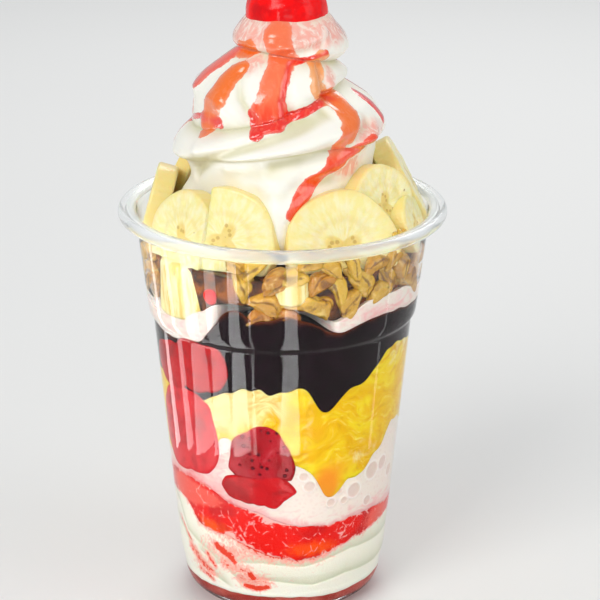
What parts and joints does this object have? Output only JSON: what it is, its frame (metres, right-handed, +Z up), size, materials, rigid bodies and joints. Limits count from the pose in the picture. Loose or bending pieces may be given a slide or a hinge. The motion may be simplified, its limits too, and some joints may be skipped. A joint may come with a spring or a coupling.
{
  "type": "banana split parfait",
  "caption": "Layered banana split parfait in a clear plastic cup, with soft serve, fruit, fudge, nuts and a cherry on top.",
  "frame": {"origin": "centre of the cup's foot, on the surface that it stands on", "axes": "+Z up along the cup's axis, -Y towards the viewer, +X to the viewer's right"},
  "size_m": [0.098, 0.098, 0.1905],
  "materials": {
    "clear_plastic": "clear moulded plastic, glossy",
    "base_syrup": "thick dark red syrup, glossy",
    "soft_serve": "soft-serve ice cream, satin",
    "strawberry_glaze": "bright red glaze, glossy",
    "pink_ice_cream": "pink and white ice cream, satin",
    "pineapple": "crushed pineapple, wet",
    "strawberry": "strawberries, wet",
    "hot_fudge": "dark fudge, glossy",
    "walnut": "walnut pieces in syrup, wet",
    "banana": "cut banana, satin",
    "cherry": "preserved cherry, wet"
  },
  "bodies": {
    "root": {"cup": "clear_plastic", "base_syrup": "base_syrup", "lower_soft_serve": "soft_serve", "strawberry_glaze": "strawberry_glaze", "pink_ice_cream": "pink_ice_cream", "crushed_pineapple": "pineapple", "hot_fudge": "hot_fudge", "upper_ice_cream": "pink_ice_cream", "walnut_heap": "walnut", "banana_chunk_left": "banana", "banana_chunk_front": "banana", "strawberry_left": "strawberry", "strawberry_upper": "strawberry", "strawberry_centre": "strawberry", "strawberry_low": "strawberry", "strawberry_back": "strawberry", "cherry_piece": "cherry", "banana_slice_front_right": "banana", "banana_slice_front_left": "banana", "banana_slice_left": "banana", "banana_slice_far_left": "banana", "banana_slice_right_tall": "banana", "banana_slice_right_low": "banana", "banana_slice_far_right": "banana", "banana_slice_back_right": "banana", "banana_slice_back": "banana", "banana_slice_back_left": "banana", "soft_serve_swirl": "soft_serve", "cherry": "cherry"}
  },
  "joints": []
}
